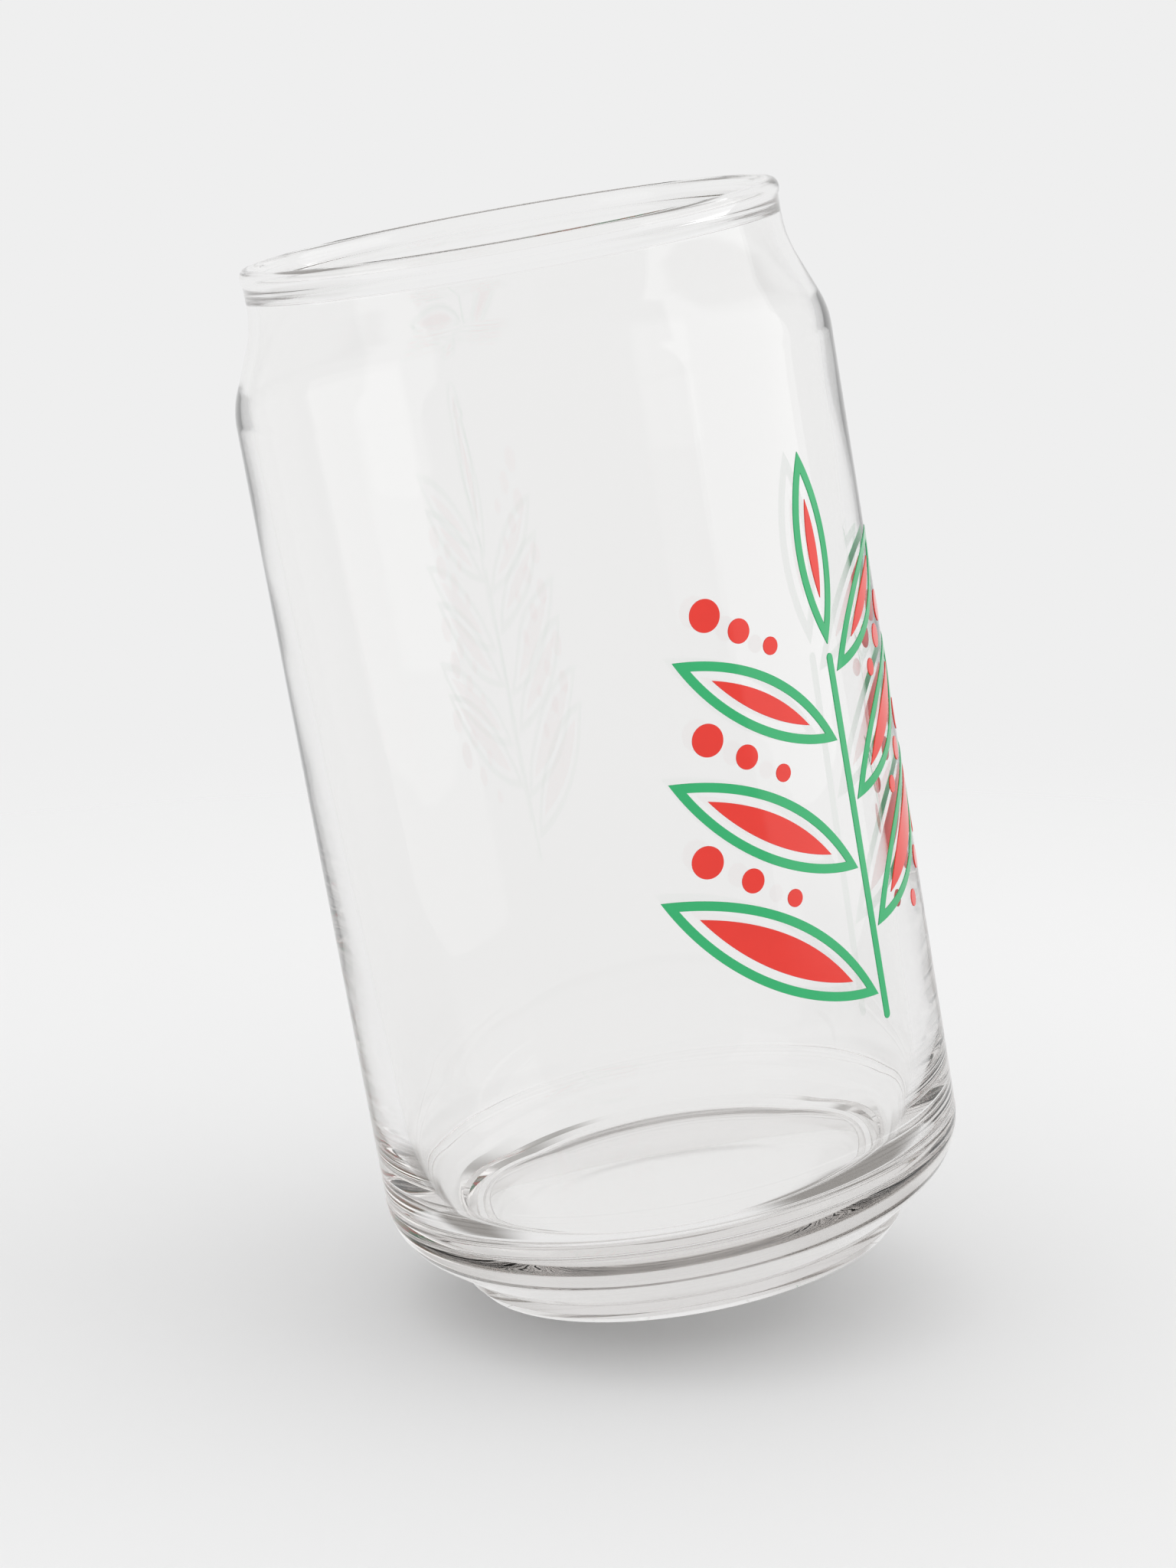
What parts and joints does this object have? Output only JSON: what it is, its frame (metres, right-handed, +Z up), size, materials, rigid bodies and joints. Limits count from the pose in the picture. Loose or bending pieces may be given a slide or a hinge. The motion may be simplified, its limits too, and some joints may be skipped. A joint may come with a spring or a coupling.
{
  "type": "beer glass",
  "caption": "Clear can-shaped beer glass with a rolled rim, a necked shoulder, a heavy rounded base on a foot ring, and a printed sprig of leaves and berries.",
  "frame": {"origin": "centre of the foot ring's standing plane, on the axis of the glass", "axes": "+Z up along the axis of the glass, -Y towards the middle of the print"},
  "size_m": [0.0746, 0.0747, 0.1335],
  "materials": {
    "clear_glass": "clear, fire-polished",
    "green_enamel": "fired enamel, satin gloss",
    "red_enamel": "fired enamel, satin gloss"
  },
  "bodies": {
    "root": {"glass_body": "clear_glass", "green_print": "green_enamel", "red_print": "red_enamel"}
  },
  "joints": []
}
